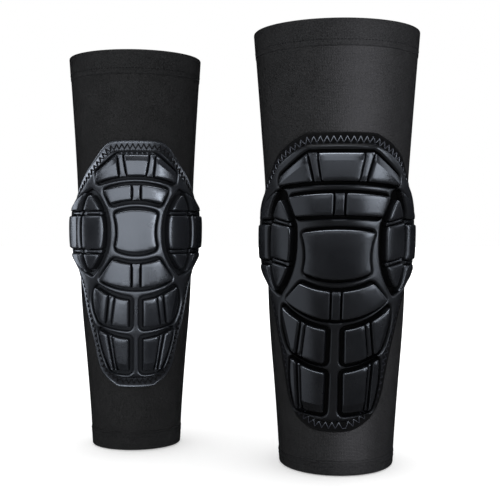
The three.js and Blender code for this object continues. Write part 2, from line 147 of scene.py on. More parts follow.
# twist is in degrees for each millimetre up. sections are (height, half width, depth over width)
# up the limb. flange is the right side of the pad's outline, from the bottom up. columns are the u
# of the cuts between a plate's blocks, from its outer end in. end and mid are the heights of a
# bowed edge at its outer end and on the centre line. tall and rib are how far out of the sleeve
# the tops of a plate's blocks and ribs lie.
LARGE = {
    "name": "large",
    "middle": 167.5,
    "foam_gap": 22.5,
    "bevel": 6.4,
    "twist": 0.033,
    "height": 340,
    "hems": (11, 20),
    "sections": [
        (0, 45, 1.12), (30, 46.9, 1.1), (68, 49.7, 1.08), (96, 52, 1.06), (123, 53.7, 1.05),
        (170, 54.9, 1.04), (222, 56.8, 1.02), (268, 60, 0.99), (340, 65.5, 0.96),
    ],
    "flange": [
        (10, 34), (20, 37.5), (29, 44), (36, 54), (40, 66), (42.5, 78), (46.5, 93), (51, 106),
        (58, 124), (66, 138), (76, 150), (84, 161), (86, 174), (84, 200), (80, 209), (72, 219),
        (63, 228), (54, 240), (42, 249), (31, 254.5), (22, 256.7),
    ],
    "brow": {
        "lower": {"columns": (44, 17.5, 12.3), "end": 217, "mid": 220.3},
        "upper": {"columns": (44.5, 23, 16), "shoulder": 225, "top": 242},
        "tall": 10, "rib": 8,
    },
    "upper_arch": {
        "lower": {"columns": (28.8, 3.6), "end": 194, "mid": 195.2},
        "upper": {"columns": (35, 3.6), "end": 209.5, "mid": 212.2},
        "tall": 11, "rib": 9.2,
    },
    "kneecap": {
        "lower": {"columns": (22.2,), "end": 153, "mid": 147.9},
        "upper": {"columns": (24.2,), "end": 183, "mid": 185.6},
        "waist": 2.4, "tall": 12,
    },
    "lower_arch": {
        "lower": {"columns": (35.5, 3.4), "end": 132.5, "mid": 118.3},
        "upper": {"columns": (24, 3.4), "end": 146, "mid": 140},
        "tall": 11, "rib": 9.6,
    },
    "shin": {
        "lower": {"columns": (31, 25.6, 21.5, 6), "end": 95, "mid": 85.5},
        "upper": {"columns": (38.2, 23, 19.2, 5.6), "end": 128, "mid": 111.5},
        "bulge": 3, "tall": 10, "rib": 8.6,
    },
    "shin_end": {
        "lower": {"columns": (25.2, 22.9, 20.5, 5.9), "end": 51, "mid": 48.3},
        "upper": {"columns": (30, 25.4, 22.3, 5.5), "end": 89.5, "mid": 79.5},
        "bulge": 2, "tall": 9.5, "rib": 8,
    },
    "inner_wing": {
        "bottom": 141.3, "top": 208, "tip": 42.3, "inside": -9.2, "outside": 7.6,
        "splits": (159, 189), "tall": 9.4,
    },
    "outer_wing": {
        "bottom": 138, "top": 214.6, "tip": 45.5, "inside": 10.6, "outside": 26.5,
        "splits": (160, 191), "tall": 8.6,
    },
    "wing_rise": 3.5,
    "stitch": {"inset": 5.4, "reach": 2.4, "pitch": 4.8, "radius": 0.3},
}
SMALL = {
    "name": "small",
    "middle": 183.2,
    "foam_gap": 21.5,
    "bevel": 5.6,
    "twist": 0.007,
    "height": 331,
    "hems": (15.5, 19.5),
    "sections": [
        (0, 37.6, 0.92), (30, 39.3, 0.95), (73, 42.5, 1.0), (122, 46.6, 1.03), (170, 48.5, 1.04),
        (228, 50, 1.02), (252, 51.2, 1.0), (331, 56.1, 0.98),
    ],
    "flange": [
        (12, 54.5), (18, 57), (26, 63), (32, 71), (36, 84), (39.5, 96), (44, 108), (48, 120),
        (53, 136), (62, 147), (74, 159), (80, 172), (80, 195), (73, 208), (63, 216), (55, 223),
        (49, 229.5), (40, 238.5), (33, 246), (28.5, 251.3), (23, 255.6), (15, 257.5),
    ],
    "brow": {
        "lower": {"columns": (29.5, 12, 6.8), "end": 222.5, "mid": 227.9},
        "upper": {"columns": (31, 14, 9.5), "shoulder": 232, "top": 246},
        "tall": 10, "rib": 8.6,
    },
    "upper_arch": {
        "lower": {"columns": (18, 3), "end": 205.2, "mid": 208.4},
        "upper": {"columns": (23.4, 3), "end": 217, "mid": 221.3},
        "tall": 11, "rib": 9.4,
    },
    "kneecap": {
        "lower": {"columns": (14.7,), "end": 169.5, "mid": 165.8},
        "upper": {"columns": (15.3,), "end": 198, "mid": 201.1},
        "waist": 2, "tall": 12,
    },
    "lower_arch": {
        "lower": {"columns": (27, 3), "end": 144, "mid": 137.1},
        "upper": {"columns": (16.5, 3), "end": 161, "mid": 157.6},
        "tall": 11, "rib": 9.4,
    },
    "shin": {
        "lower": {"columns": (27.2, 21.7, 17.3, 4.6), "end": 108.7, "mid": 104.5},
        "upper": {"columns": (30.5, 19.3, 14.7, 4.4), "end": 138.3, "mid": 128},
        "bulge": 5, "tall": 10, "rib": 8.8,
    },
    "shin_end": {
        "lower": {"columns": (17.4, 15.2, 13, 4.6), "end": 69, "mid": 67.8},
        "upper": {"columns": (27.6, 20.4, 17, 4.5), "end": 103.3, "mid": 95.8},
        "bulge": 1.5, "tall": 9.5, "rib": 8.2,
    },
    "inner_wing": {
        "bottom": 151.7, "top": 214, "tip": 35, "inside": -11.2, "outside": 7.2,
        "splits": (167, 198.5), "tall": 9.6,
    },
    "outer_wing": {
        "bottom": 149, "top": 216, "tip": 38, "inside": 10.8, "outside": 29.5,
        "splits": (167, 198.5), "tall": 9,
    },
    "wing_rise": 0,
    "stitch": {"inset": 5.2, "reach": 2.2, "pitch": 4.3, "radius": 0.5},
}

# -------- pattern space


def unit(vectors):
    """The same vectors, each of them one long."""
    return vectors / np.linalg.norm(vectors, axis=-1, keepdims=True)


def curve_through(points, column):
    """A smooth reading of one column of a table whose rows start with the height."""
    x = np.array([row[0] for row in points], float)
    y = np.array([row[column] for row in points], float)
    slope = np.gradient(y, x)

    def read(at):
        at = np.clip(at, x[0], x[-1])
        i = np.clip(np.searchsorted(x, at) - 1, 0, len(x) - 2)
        width = x[i + 1] - x[i]
        t = (at - x[i]) / width
        rising = t * t * (3 - 2 * t)
        bend = width * t * (1 - t) * (slope[i] * (1 - t) - slope[i + 1] * t)
        return y[i] * (1 - rising) + y[i + 1] * rising + bend

    return read


class Guard:
    """One guard: its dimensions, and where its pattern lies on the limb."""

    def __init__(self, spec):
        self.spec = spec
        self.name = spec["name"]
        self.middle = spec["middle"]
        self.half_width = curve_through(spec["sections"], 1)
        self.ratio = curve_through(spec["sections"], 2)
        low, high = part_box(f"{self.name}_top_hem")
        self.axis = (np.array(low[:2]) + np.array(high[:2])) / 2
        hinge = next(j for j in frame["joints"] if j["name"] == f"{self.name}_lower_bend")
        self.turn = math.atan2(-hinge["axis"][1], -hinge["axis"][0])

    def place(self, u, v, n, facing=0.0):
        """Points of the pattern, in metres in the frame. facing is an angle round the limb."""
        u, v, n = (np.asarray(x, float) for x in np.broadcast_arrays(u, v, n))
        a = self.half_width(v)
        b = a * self.ratio(v)
        phi = u / a + facing + np.radians(self.spec["twist"] * (v - self.middle))
        out = unit(np.stack([b * np.sin(phi), -a * np.cos(phi)], axis=-1))
        x = a * np.sin(phi) + n * out[..., 0]
        y = -b * np.cos(phi) + n * out[..., 1]
        cos, sin = math.cos(self.turn), math.sin(self.turn)
        x, y = x * cos - y * sin, x * sin + y * cos
        return np.stack([x * MM + self.axis[0], y * MM + self.axis[1], v * MM], axis=-1)

    def lay(self, loop, n):
        """The points of a loop of the pattern, at height n."""
        return self.place(loop[:, 0], loop[:, 1], n)


# -------- outlines in the pattern


def steps(line):
    """The lengths of a line's segments."""
    return np.hypot(*np.diff(line, axis=0).T)


def along(line, start, end, step):
    """An evenly spaced copy of a line, without a stretch at its start and one at its end."""
    s = np.concatenate([[0], np.cumsum(steps(line))])
    count = max(1, math.ceil((s[-1] - start - end) / step))
    at = np.linspace(start, s[-1] - end, count + 1)
    return np.column_stack([np.interp(at, s, line[:, 0]), np.interp(at, s, line[:, 1])])


def closed(loop):
    """A loop with its first point again at its end."""
    return np.vstack([loop, loop[:1]])


def respaced(loop, step):
    """An evenly spaced copy of a closed loop."""
    return along(closed(loop), 0, 0, step)[:-1]


def rounded(sides, radius, step):
    """A closed outline from its sides, with its corners rounded."""
    lengths = [steps(side).sum() for side in sides]
    count = len(sides)
    cuts = [min(radius, 0.45 * lengths[i], 0.45 * lengths[i - 1]) for i in range(count)]
    parts = [along(sides[i], cuts[i], cuts[(i + 1) % count], step) for i in range(count)]
    outline = []
    for i in range(count):
        start, corner, end = parts[i][-1], sides[i][-1], parts[(i + 1) % count][0]
        outline.extend(parts[i])
        for t in (0.2, 0.4, 0.6, 0.8):
            outline.append((1 - t) ** 2 * start + 2 * t * (1 - t) * corner + t * t * end)
    return np.array(outline)


def smooth_loop(points, step):
    """A closed smooth curve through points, evenly spaced."""
    p = np.array(points, float)
    before, after, beyond = np.roll(p, 1, 0), np.roll(p, -1, 0), np.roll(p, -2, 0)
    t = np.linspace(0, 1, 12, endpoint=False)[:, None, None]
    curve = 0.5 * (
        2 * p
        + (after - before) * t
        + (2 * before - 5 * p + 4 * after - beyond) * t**2
        + (3 * p - before - 3 * after + beyond) * t**3
    )
    return respaced(curve.transpose(1, 0, 2).reshape(-1, 2), step)


def inset(loop, distance):
    """A copy of an anticlockwise loop moved inwards; a negative distance moves it outwards."""
    ahead = unit(np.roll(loop, -1, 0) - loop)
    normal = np.column_stack([-ahead[:, 1], ahead[:, 0]])
    mean = unit(normal + np.roll(normal, 1, 0))
    stretch = 1 / np.clip((mean * normal).sum(1), 0.6, 1)
    distance = np.asarray(distance, float)
    return loop + mean * (stretch * distance)[:, None]


def gaps(points, loop):
    """The distance from each point to the nearest part of a loop."""
    a, b = loop, np.roll(loop, -1, 0)
    run = b - a
    t = ((points[:, None] - a) * run).sum(2) / np.maximum((run * run).sum(1), 1e-9)
    nearest = a + np.clip(t, 0, 1)[..., None] * run
    return np.sqrt(((points[:, None] - nearest) ** 2).sum(2)).min(1)


def room_inside(loop, most):
    """How far in each point of a loop can move, up to a limit, before it nears its other side."""
    reach = np.full(len(loop), 0.1 * most)
    free = np.full(len(loop), True)
    for distance in np.linspace(0.1, 1, 13) * most:
        free &= gaps(inset(loop, distance), loop) > 0.93 * distance
        reach[free] = distance
    neighbours = [np.roll(reach, shift) for shift in (-2, -1, 0, 1, 2)]
    return np.where(reach < most, 0.85, 1) * np.min(neighbours, axis=0)


def inside(points, loop):
    """Which points lie inside a loop."""
    a, b = loop, np.roll(loop, -1, 0)
    x, y = points[:, None, 0], points[:, None, 1]
    spans = (a[:, 1] > y) != (b[:, 1] > y)
    rise = np.where(b[:, 1] == a[:, 1], 1e-9, b[:, 1] - a[:, 1])
    crossing = a[:, 0] + (y - a[:, 1]) * (b[:, 0] - a[:, 0]) / rise
    return (spans & (x < crossing)).sum(1) % 2 == 1


def fill(outer, holes, spacing, extra=()):
    """Triangles inside one loop and outside others: points (the loops' own first) and triangles.

    extra holds open lines that edges have to follow, such as a crease. The third thing that comes
    back is each such line as a chain of points.
    """
    loops = [outer, *holes]
    low, high = outer.min(0), outer.max(0)
    columns = np.arange(low[0], high[0], spacing)
    rows = np.arange(low[1], high[1], spacing * 0.87)
    grid = np.array(
        [(x + (j % 2) * spacing / 2, y) for j, y in enumerate(rows) for x in columns]
    ).reshape(-1, 2)
    keep = inside(grid, outer)
    for loop in loops:
        keep &= gaps(grid, loop) > spacing * 0.5
    for loop in holes:
        keep &= ~inside(grid, loop)
    for line in extra:
        keep &= gaps(grid, np.vstack([line, line[-2:0:-1]])) > spacing * 0.45
    edges = []
    points = []
    chains = []
    for loop in loops:
        first, count = len(points), len(loop)
        points.extend(loop)
        edges.extend((first + i, first + (i + 1) % count) for i in range(count))
    for line in extra:
        ends = [int(np.argmin(((outer - line[k]) ** 2).sum(1))) for k in (0, -1)]
        first = len(points)
        points.extend(line[1:-1])
        chain = [ends[0], *range(first, len(points)), ends[1]]
        edges.extend(zip(chain, chain[1:]))
        chains.append(chain)
    points.extend(grid[keep])
    filled = delaunay_2d_cdt([Vector(p) for p in points], edges, [], 1, 1e-6)
    out, _, faces, origin = filled[:4]
    names = [source[0] if source else -1 for source in origin]
    flat = np.array([tuple(p) for p in out])
    centres = np.array([flat[list(f)].mean(0) for f in faces])
    good = inside(centres, outer)
    for loop in holes:
        good &= ~inside(centres, loop)
    triangles = [[names[i] for i in f] for f, ok in zip(faces, good) if ok]
    return np.array(points), [t for t in triangles if min(t) >= 0], chains


def corner_sides(lower, upper, low, high, bow=(0, 0)):
    """The four sides of a plate or column, anticlockwise from the lower left corner.

    lower and upper hold the u of the left and right corners, low and high give the edges' heights,
    and bow is how far the left and right sides swell to the right.
    """
    t = np.linspace(0, 1, 25)
    swell = 4 * t * (1 - t)
    bottom = lower[0] + (lower[1] - lower[0]) * t
    top = upper[1] + (upper[0] - upper[1]) * t
    right = lower[1] + (upper[1] - lower[1]) * t + bow[1] * swell
    left = upper[0] + (lower[0] - upper[0]) * t + bow[0] * swell
    right_v = low(lower[1]) + (high(upper[1]) - low(lower[1])) * t
    left_v = high(upper[0]) + (low(lower[0]) - high(upper[0])) * t
    return [
        np.column_stack([bottom, low(bottom)]),
        np.column_stack([right, right_v]),
        np.column_stack([top, high(top)]),
        np.column_stack([left, left_v]),
    ]


def row_edge(edge):
    """The height of a row's edge at u: bowed, or flat with sloping shoulders."""
    columns = edge["columns"]
    if "shoulder" in edge:
        outer, corner = columns[0], columns[1]

        def height(u):
            beyond = np.clip((np.abs(u) - corner) / (outer - corner), 0, 1)
            return edge["top"] + (edge["shoulder"] - edge["top"]) * beyond

    else:

        def height(u):
            return edge["mid"] + (edge["end"] - edge["mid"]) * (u / columns[0]) ** 2

    return height


def mirror(sides):
    """The same sides on the other side of the centre line, still anticlockwise."""
    flipped = [side[::-1] * (-1, 1) for side in sides]
    return [flipped[0], flipped[3], flipped[2], flipped[1]]


def mirror_fall(fall):
    """The same crease on the other side of the centre line."""
    (p, q), slope = fall
    return ((-p[0], p[1]), (-q[0], q[1])), -slope


# -------- meshes


def linked(piece):
    """The object itself, put in the scene."""
    bpy.context.scene.collection.objects.link(piece)
    return piece


def make_object(
    name, vertices, faces, material, uvs=(), wear=(), recess=(), creases=(), sharp=EDGE_ANGLE
):
    """A mesh object from points in metres. uvs holds a point of the pattern for each face corner.

    Faces listed for painted shade get a second, darker and matte material, which stands in for the
    shadow in a groove; creases are the edges that stay sharp.
    """
    mesh = bpy.data.meshes.new(name)
    mesh.from_pydata([tuple(p) for p in vertices], [], [tuple(f) for f in faces])
    if len(wear):
        layer = mesh.attributes.new("wear", "FLOAT", "POINT")
        layer.data.foreach_set("value", np.asarray(wear, np.float32))
    if len(uvs):
        layer = mesh.uv_layers.new(name="UVMap")
        layer.data.foreach_set("uv", np.asarray(uvs, np.float32).ravel())
    mesh.validate()
    mesh.shade_smooth()
    mesh.set_sharp_from_angle(angle=sharp)
    creases = {frozenset(pair) for pair in creases}
    for edge in mesh.edges if creases else ():
        if frozenset(edge.vertices) in creases:
            edge.use_edge_sharp = True
    mesh.materials.append(material)
    # painted shade: the listed faces take the darker, matte rubber in place of a groove's shadow
    if recess:
        mesh.materials.append(PAINTED_SHADE_RUBBER)
        for index in recess:
            mesh.polygons[index].material_index = 1
    return linked(bpy.data.objects.new(name, mesh))


class Build:
    """Collects the points and faces of one piece of a guard."""

    def __init__(self, guard):
        self.guard = guard
        self.points = []
        self.faces = []
        self.wear = []
        self.recess = []
        self.creases = []

    def add(self, points, wear=1.0):
        first = len(self.points)
        self.points.extend(np.asarray(points).reshape(-1, 3))
        self.wear.extend(np.broadcast_to(wear, len(self.points) - first))
        return first

    def ring(self, loop, n, wear=1.0):
        """Adds a loop of the pattern at height n, and says where it starts."""
        return self.add(self.guard.lay(loop, n), wear)

    def wall(self, starts, count, shade_painted=0, flip=False):
        """Joins rings of as many points, one to the next; the first few spans may get painted shade, a
        darker material in place of a groove's shadow.
        """
        for span, (a, b) in enumerate(zip(starts, starts[1:])):
            a, b = (b, a) if flip else (a, b)
            for i in range(count):
                j = (i + 1) % count
                if span < shade_painted:
                    self.recess.append(len(self.faces))
                self.faces.append((a + i, a + j, b + j, b + i))

    def cap(self, starts, loops, spacing, height, flip, wear=None, extra=(), recess=None):
        """Closes rings that are there already, with new points between them.

        height is a number or a function of points of the pattern, and wear is such a function.
        Faces inside the optional shade loop get painted shade, a darker material in place of a groove's
        shadow.
        """
        flat, triangles, chains = fill(loops[0], loops[1:], spacing, extra)
        names = [s + i for s, loop in zip(starts, loops) for i in range(len(loop))]
        rest = flat[len(names):]
        if len(rest):
            n = height(rest) if callable(height) else height
            first = self.ring(rest, n, wear(rest) if wear else 1.0)
            names.extend(range(first, first + len(rest)))
        # painted shade on the faces inside that loop
        if recess is not None:
            shade_painted = inside(flat[np.array(triangles)].mean(1), recess)
            self.recess.extend(len(self.faces) + np.flatnonzero(shade_painted))
        for t in triangles:
            face = [names[i] for i in t]
            self.faces.append(face[::-1] if flip else face)
        for chain in chains:
            ends = [names[i] for i in chain]
            self.creases.extend(zip(ends, ends[1:]))

    def finish(self, name, material):
        recess = [int(i) for i in self.recess]
        name = f"{self.guard.name}_{name}"
        return make_object(
            name, self.points, self.faces, material, (), self.wear, recess, self.creases
        )


def tube_piece(guard, name, profile, material):
    """A closed ring round the limb; profile is a closed list of (v, n), up the outside first."""
    v, n = np.array(profile, float).T[..., None]
    half = guard.half_width(v)
    angles = np.linspace(-math.pi, math.pi, AROUND + 1)
    points = guard.place(angles[:-1] * half, v, n)
    faces = []
    uvs = []
    for i in range(len(profile)):
        k = (i + 1) % len(profile)
        for j in range(AROUND):
            m = (j + 1) % AROUND
            faces.append((i * AROUND + j, i * AROUND + m, k * AROUND + m, k * AROUND + j))
            corners = ((j, i), (j + 1, i), (j + 1, k), (j, k))
            uvs.extend((angles[a] * half[row, 0] * MM, v[row, 0] * MM) for a, row in corners)
    name = f"{guard.name}_{name}"
    return make_object(name, points.reshape(-1, 3), faces, material, uvs, sharp=RIM_ANGLE)


def thread_tubes(guard, name, runs, material, radius, sides, facing=0.0):
    """Round threads along short runs of (u, v, n) points, as one piece."""
    points = []
    faces = []
    turn = np.linspace(0, 2 * math.pi, sides, endpoint=False)
    for run in runs:
        line = guard.place(*run.T, facing)
        outward = unit(guard.place(*(run + (0, 0, 1)).T, facing) - line)
        tangent = unit(np.gradient(line, axis=0))
        across = unit(np.cross(tangent, outward))
        lift = np.cross(across, tangent)
        first = len(points)
        for p, x, y in zip(line, across, lift):
            points.extend(p + radius * MM * (math.cos(a) * x + math.sin(a) * y) for a in turn)
        last = len(points) - sides
        for a in range(first, last, sides):
            for j in range(sides):
                k = (j + 1) % sides
                faces.append((a + j, a + sides + j, a + sides + k, a + k))
        faces.append([first + j for j in range(sides)])
        faces.append([last + j for j in reversed(range(sides))])
    return make_object(f"{guard.name}_{name}", points, faces, material)


def cut_at(whole, height, keep_upper, name):
    """A copy of a closed piece cut level at a height, with the cut closed."""
    mesh = whole.data.copy()
    mesh.name = name
    work = bmesh.new()
    work.from_mesh(mesh)
    cut = bmesh.ops.bisect_plane(
        work,
        geom=[*work.verts, *work.edges, *work.faces],
        dist=1e-7,
        plane_co=(0, 0, height * MM),
        plane_no=(0, 0, 1),
        clear_outer=not keep_upper,
        clear_inner=keep_upper,
    )
    edges = [g for g in cut["geom_cut"] if isinstance(g, bmesh.types.BMEdge)]
    bmesh.ops.holes_fill(work, edges=edges, sides=0)
    work.to_mesh(mesh)
    work.free()
    mesh.set_sharp_from_angle(angle=EDGE_ANGLE)
    return linked(bpy.data.objects.new(name, mesh))


def in_halves(guard, whole, name, part=None):
    """Cuts a piece of the base at the kneecap's centre into a thigh half and a calf half."""
    for half in HALVES:
        full_name = f"{guard.name}_{name}_{half}_half"
        piece = cut_at(whole, guard.middle, half == "thigh", full_name)
        assign(guard, piece, "pad_base", half, *half_nodes(part, half))
    bpy.data.objects.remove(whole)


def half_nodes(part, half):
    """The CAD nodes of a part, if it has any, that one half of it stands for."""
    return [f"{part}_{body}" for body in HALVES[half]] if part else []


def assign(guard, piece, slot, where, *nodes):
    """Hides the CAD nodes that a piece stands for, and parents it to its body's empty or, for a half,
    bakes its placement into its mesh. The slot argument is not used.
    """
    if nodes:
        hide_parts(*[f"{guard.name}_{node}" for node in nodes])
    if where in HALVES:
        bend(guard, piece, where)
    else:
        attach(piece, f"{guard.name}_{where}")


def bend(guard, piece, half):
    """Bakes the piece's placement into its mesh."""
    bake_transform(piece)


# -------- materials


class Finish:
    """A material of one Principled shader, with plain values on its sockets."""

    def __init__(self, name, color, **values):
        self.material = bpy.data.materials.new(name)
        self.material.use_nodes = True
        self.tree = self.material.node_tree
        self.shader = self.tree.nodes["Principled BSDF"]
        self.shader.inputs["Base Color"].default_value = (*color, 1)
        for socket, value in values.items():
            self.shader.inputs[socket.replace("_", " ")].default_value = value

    def node(self, kind, links=None, **settings):
        made = self.tree.nodes.new("ShaderNode" + kind)
        for key, value in settings.items():
            setattr(made, key, value)
        for socket, value in (links or {}).items():
            target = made.inputs[socket]
            if isinstance(value, bpy.types.NodeSocket):
                self.tree.links.new(value, target)
            else:
                target.default_value = value
        return made

    def math(self, operation, a, b=0.0):
        return self.node("Math", {0: a, 1: b}, operation=operation).outputs[0]

    def link(self, output, socket):
        self.tree.links.new(output, self.shader.inputs[socket])

    def bump(self, height, distance, strength):
        made = self.node("Bump", {"Height": height, "Distance": distance, "Strength": strength})
        self.link(made.outputs["Normal"], "Normal")

    def noise(self, scale, detail):
        where = self.node("TexCoord").outputs["Object"]
        return self.node("TexNoise", {"Vector": where, "Scale": scale, "Detail": detail}).outputs[0]

    def tones(self, factor, dark, light):
        """Sends a colour between two tones to the shader."""
        mix = self.node("Mix", {0: factor}, data_type="RGBA")
        mix.inputs[6].default_value = (*dark, 1)
        mix.inputs[7].default_value = (*light, 1)
        self.link(mix.outputs[2], "Base Color")


def knit(name, rib, gloss, dark, light):
    """Fine stretch knit: faint ribs up the sleeve, rows of stitches across them, and loose fibres."""
    made = Finish(name, dark, Roughness=0.36, Specular_IOR_Level=gloss)
    where = made.node("TexCoord").outputs["UV"]
    u, v = made.node("SeparateXYZ", {0: where}).outputs[:2]
    ribs = made.math("SINE", made.math("MULTIPLY", u, 2 * math.pi / (rib * MM)))
    rows = made.math("SINE", made.math("MULTIPLY", v, 2 * math.pi / (rib * 0.85 * MM)))
    stitches = made.math("MULTIPLY", ribs, rows)
    lines = made.math("ADD", made.math("MULTIPLY", ribs, 0.1), made.math("MULTIPLY", rows, 0.16))
    height = made.math("ADD", lines, made.math("MULTIPLY", stitches, 0.2))
    fibres = made.math("SUBTRACT", made.noise(1100, 3), 0.5)
    blotches = made.math("SUBTRACT", made.noise(60, 3), 0.5)
    mottled = made.math("ADD", made.math("MULTIPLY", fibres, 2.6), made.math("MULTIPLY", blotches, 0.5))
    made.tones(made.math("ADD", made.math("ADD", height, 0.5), mottled), dark, light)
    made.bump(made.math("ADD", height, made.math("MULTIPLY", fibres, 1.3)), 0.0003, 0.6)
    return made.material


def moulded(name, dark, light, roughness, grain, edge, gloss=0.5):
    """Moulded rubber: a very fine grain, uneven gloss, and lighter rubbed edges."""
    made = Finish(name, dark, Roughness=roughness, Specular_IOR_Level=gloss)
    cloud = made.noise(45, 3)
    sheltered = made.node("Attribute", attribute_name="wear").outputs["Fac"]
    rubbed = made.math("SUBTRACT", 1.0, sheltered)
    scuffs = made.math("GREATER_THAN", made.noise(520, 4), 0.56)
    marks = made.math("ADD", edge, made.math("MULTIPLY", scuffs, edge))
    worn = made.math("MULTIPLY", rubbed, marks)
    made.tones(made.math("ADD", made.math("MULTIPLY", cloud, 0.35), worn), dark, light)
    spread = {0: cloud, 1: 0.3, 2: 0.7, 3: roughness - 0.03, 4: roughness + 0.05}
    made.link(made.node("MapRange", spread).outputs[0], "Roughness")
    made.bump(made.noise(2600, 2), grain, 0.5)
    return made.material


def thread_finish(name, color, gloss):
    made = Finish(name, color, Roughness=0.38, Specular_IOR_Level=gloss)
    fibres = made.noise(3000, 2)
    made.tones(fibres, tuple(c * 0.6 for c in color), tuple(c * 1.5 for c in color))
    made.bump(fibres, 0.0001, 0.6)
    return made.material


def silicone_finish():
    made = Finish("silicone", (0.12, 0.125, 0.13), Roughness=0.3, Specular_IOR_Level=0.45)
    made.tones(made.noise(120, 3), (0.08, 0.083, 0.088), (0.16, 0.166, 0.172))
    made.bump(made.noise(1500, 2), 0.0001, 0.4)
    return made.material


def liner_finish():
    """Mesh lining over foam: small round holes in a tight fabric."""
    made = Finish("liner", (0.012, 0.0125, 0.014), Roughness=0.85, Specular_IOR_Level=0.2)
    where = made.node("TexCoord").outputs["Object"]
    cells = made.node("TexVoronoi", {"Vector": where, "Scale": 520.0}).outputs["Distance"]
    made.tones(cells, (0.006, 0.006, 0.007), (0.028, 0.029, 0.032))
    made.bump(cells, 0.0005, 0.8)
    return made.material


KNIT = knit("knit", 1.25, 0.55, (0.008, 0.0082, 0.0088), (0.024, 0.0244, 0.0257))
HEM = knit("hem", 1.25, 0.25, (0.008, 0.0082, 0.0088), (0.0235, 0.0239, 0.0252))
TAPE = knit("tape", 1.0, 0.4, (0.009, 0.0092, 0.0098), (0.026, 0.0264, 0.0278))
FLANGE = moulded("flange", (0.004, 0.0041, 0.0047), (0.0105, 0.0109, 0.012), 0.3, 0.00014, 0.15)
PLATE = moulded("plate", (0.0035, 0.0036, 0.0041), (0.0105, 0.0109, 0.012), 0.24, 0.00007, 0.2)
THREAD = thread_finish("thread", (0.010, 0.010, 0.012), 0.6)
# painted shade: a darker, matte and less glossy copy of the rubber, put on groove floors and the lower
# walls of blocks and pockets in place of their shadow
PAINTED_SHADE_RUBBER = moulded("recess", (0.002, 0.002, 0.0022), (0.006, 0.006, 0.0066), 0.6, 0.00012, 0.1, 0.12)
DARK_THREAD = thread_finish("dark_thread", (0.006, 0.006, 0.007), 0.15)
SILICONE = silicone_finish()
LINER = liner_finish()

# -------- sleeve and trim


def sleeve_profile(bottom, top):
    """Up the outside of a plain wall of cloth and down its inside."""
    levels = np.linspace(bottom, top, max(2, round((top - bottom) / 4)) + 1)
    return [(v, 0) for v in levels] + [(v, -FABRIC) for v in levels[::-1]]


def hem_profile(height):
    """A folded edge, rounded at its rim, with the stitched end of the fold standing proud."""
    inner, proud = -FABRIC - HEM_FOLD["thick"], HEM_FOLD["proud"]
    middle, radius = (inner + proud) / 2, (proud - inner) / 2
    turn = np.linspace(0, math.pi, 7)
    rim = [(radius * (1 - math.sin(a)), middle - radius * math.cos(a)) for a in turn]
    levels = np.linspace(radius, height, 6)[1:]
    outside = [(v, proud) for v in levels[:-1]] + [(height - 0.3, proud), (height, proud - 0.25)]
    return rim + outside + [(v, inner) for v in levels[::-1]]


def flip_profile(profile, total):
    """The same profile upside down, still going up the outside first."""
    return [(total - v, n) for v, n in profile[::-1]]


def sleeve(guard):
    """The knit, a sheet for each half, and the folded hem at the end of each."""
    low_hem, high_hem = guard.spec["hems"]
    top = guard.spec["height"]
    ends = {
        "calf": (low_hem + HEM_FOLD["off"], guard.middle),
        "thigh": (guard.middle, top - high_hem - HEM_FOLD["off"]),
    }
    cloth = {}
    for half, (bottom, end) in ends.items():
        cloth[half] = tube_piece(guard, f"sleeve_{half}_half", sleeve_profile(bottom, end), KNIT)
        assign(guard, cloth[half], "knit", half, *half_nodes("sleeve", half))
    edge = hem_profile(low_hem)
    upper_edge = flip_profile(hem_profile(high_hem), top)
    hems = {
        "calf": tube_piece(guard, "bottom_hem_folded", edge, HEM),
        "thigh": tube_piece(guard, "top_hem_folded", upper_edge, HEM),
    }
    assign(guard, hems["calf"], "hem", "lower", "bottom_hem")
    assign(guard, hems["thigh"], "hem", "upper", "top_hem")
    for half, levels in ends.items():
        widths = [2 * math.pi * guard.half_width(v) * MM * STRETCH for v in levels]


def hem_stitches(guard):
    """The needle thread of each hem's cover stitch: short dark stitches, one row or two."""
    low_hem, high_hem = guard.spec["hems"]
    folds = {"bottom": low_hem, "top": guard.spec["height"] - high_hem}
    t = np.linspace(0, 1, 4)
    n = 0.2 + HEM_STITCH["lift"] * np.sin(math.pi * t)
    for end, body in (("bottom", "lower"), ("top", "upper")):
        runs = []
        for below in STITCH_ROWS[end]:
            v = folds[end] - below
            girth = 2 * math.pi * float(guard.half_width(v))
            count = round(girth / HEM_STITCH["pitch"])
            for i in range(count):
                u = (i / count - 0.5) * girth + HEM_STITCH["length"] * t
                runs.append(np.column_stack([u, np.full(4, v), n]))
        name, radius = f"{end}_hem_stitching", HEM_STITCH["radius"]
        assign(guard, thread_tubes(guard, name, runs, DARK_THREAD, radius, 5), "seam", body)


def grip_strips(guard):
    """Silicone bands inside the hems, with raised beads that grip the skin."""
    high = guard.spec["height"] - GRIP["edge"]
    spans = {
        "top": (high - GRIP["height"], high, 4, "upper"),
        "bottom": (GRIP["low"], GRIP["low"] + GRIP["low_height"], 3, "lower"),
    }
    for end, (bottom, top, count, body) in spans.items():
        t = np.linspace(0, 1, count * 8 + 1)
        beads = GRIP["inner"] + 0.5 - GRIP_BEAD * np.abs(np.sin(math.pi * count * t)) ** 0.7
        inner = [(top + (bottom - top) * k, n) for k, n in zip(t, beads)]
        outer = [(v, GRIP["outer"]) for v in np.linspace(bottom, top, 5)]
        piece = tube_piece(guard, f"{end}_grip_band", outer + inner, SILICONE)
        assign(guard, piece, "silicone", body, f"{end}_grip_strip")


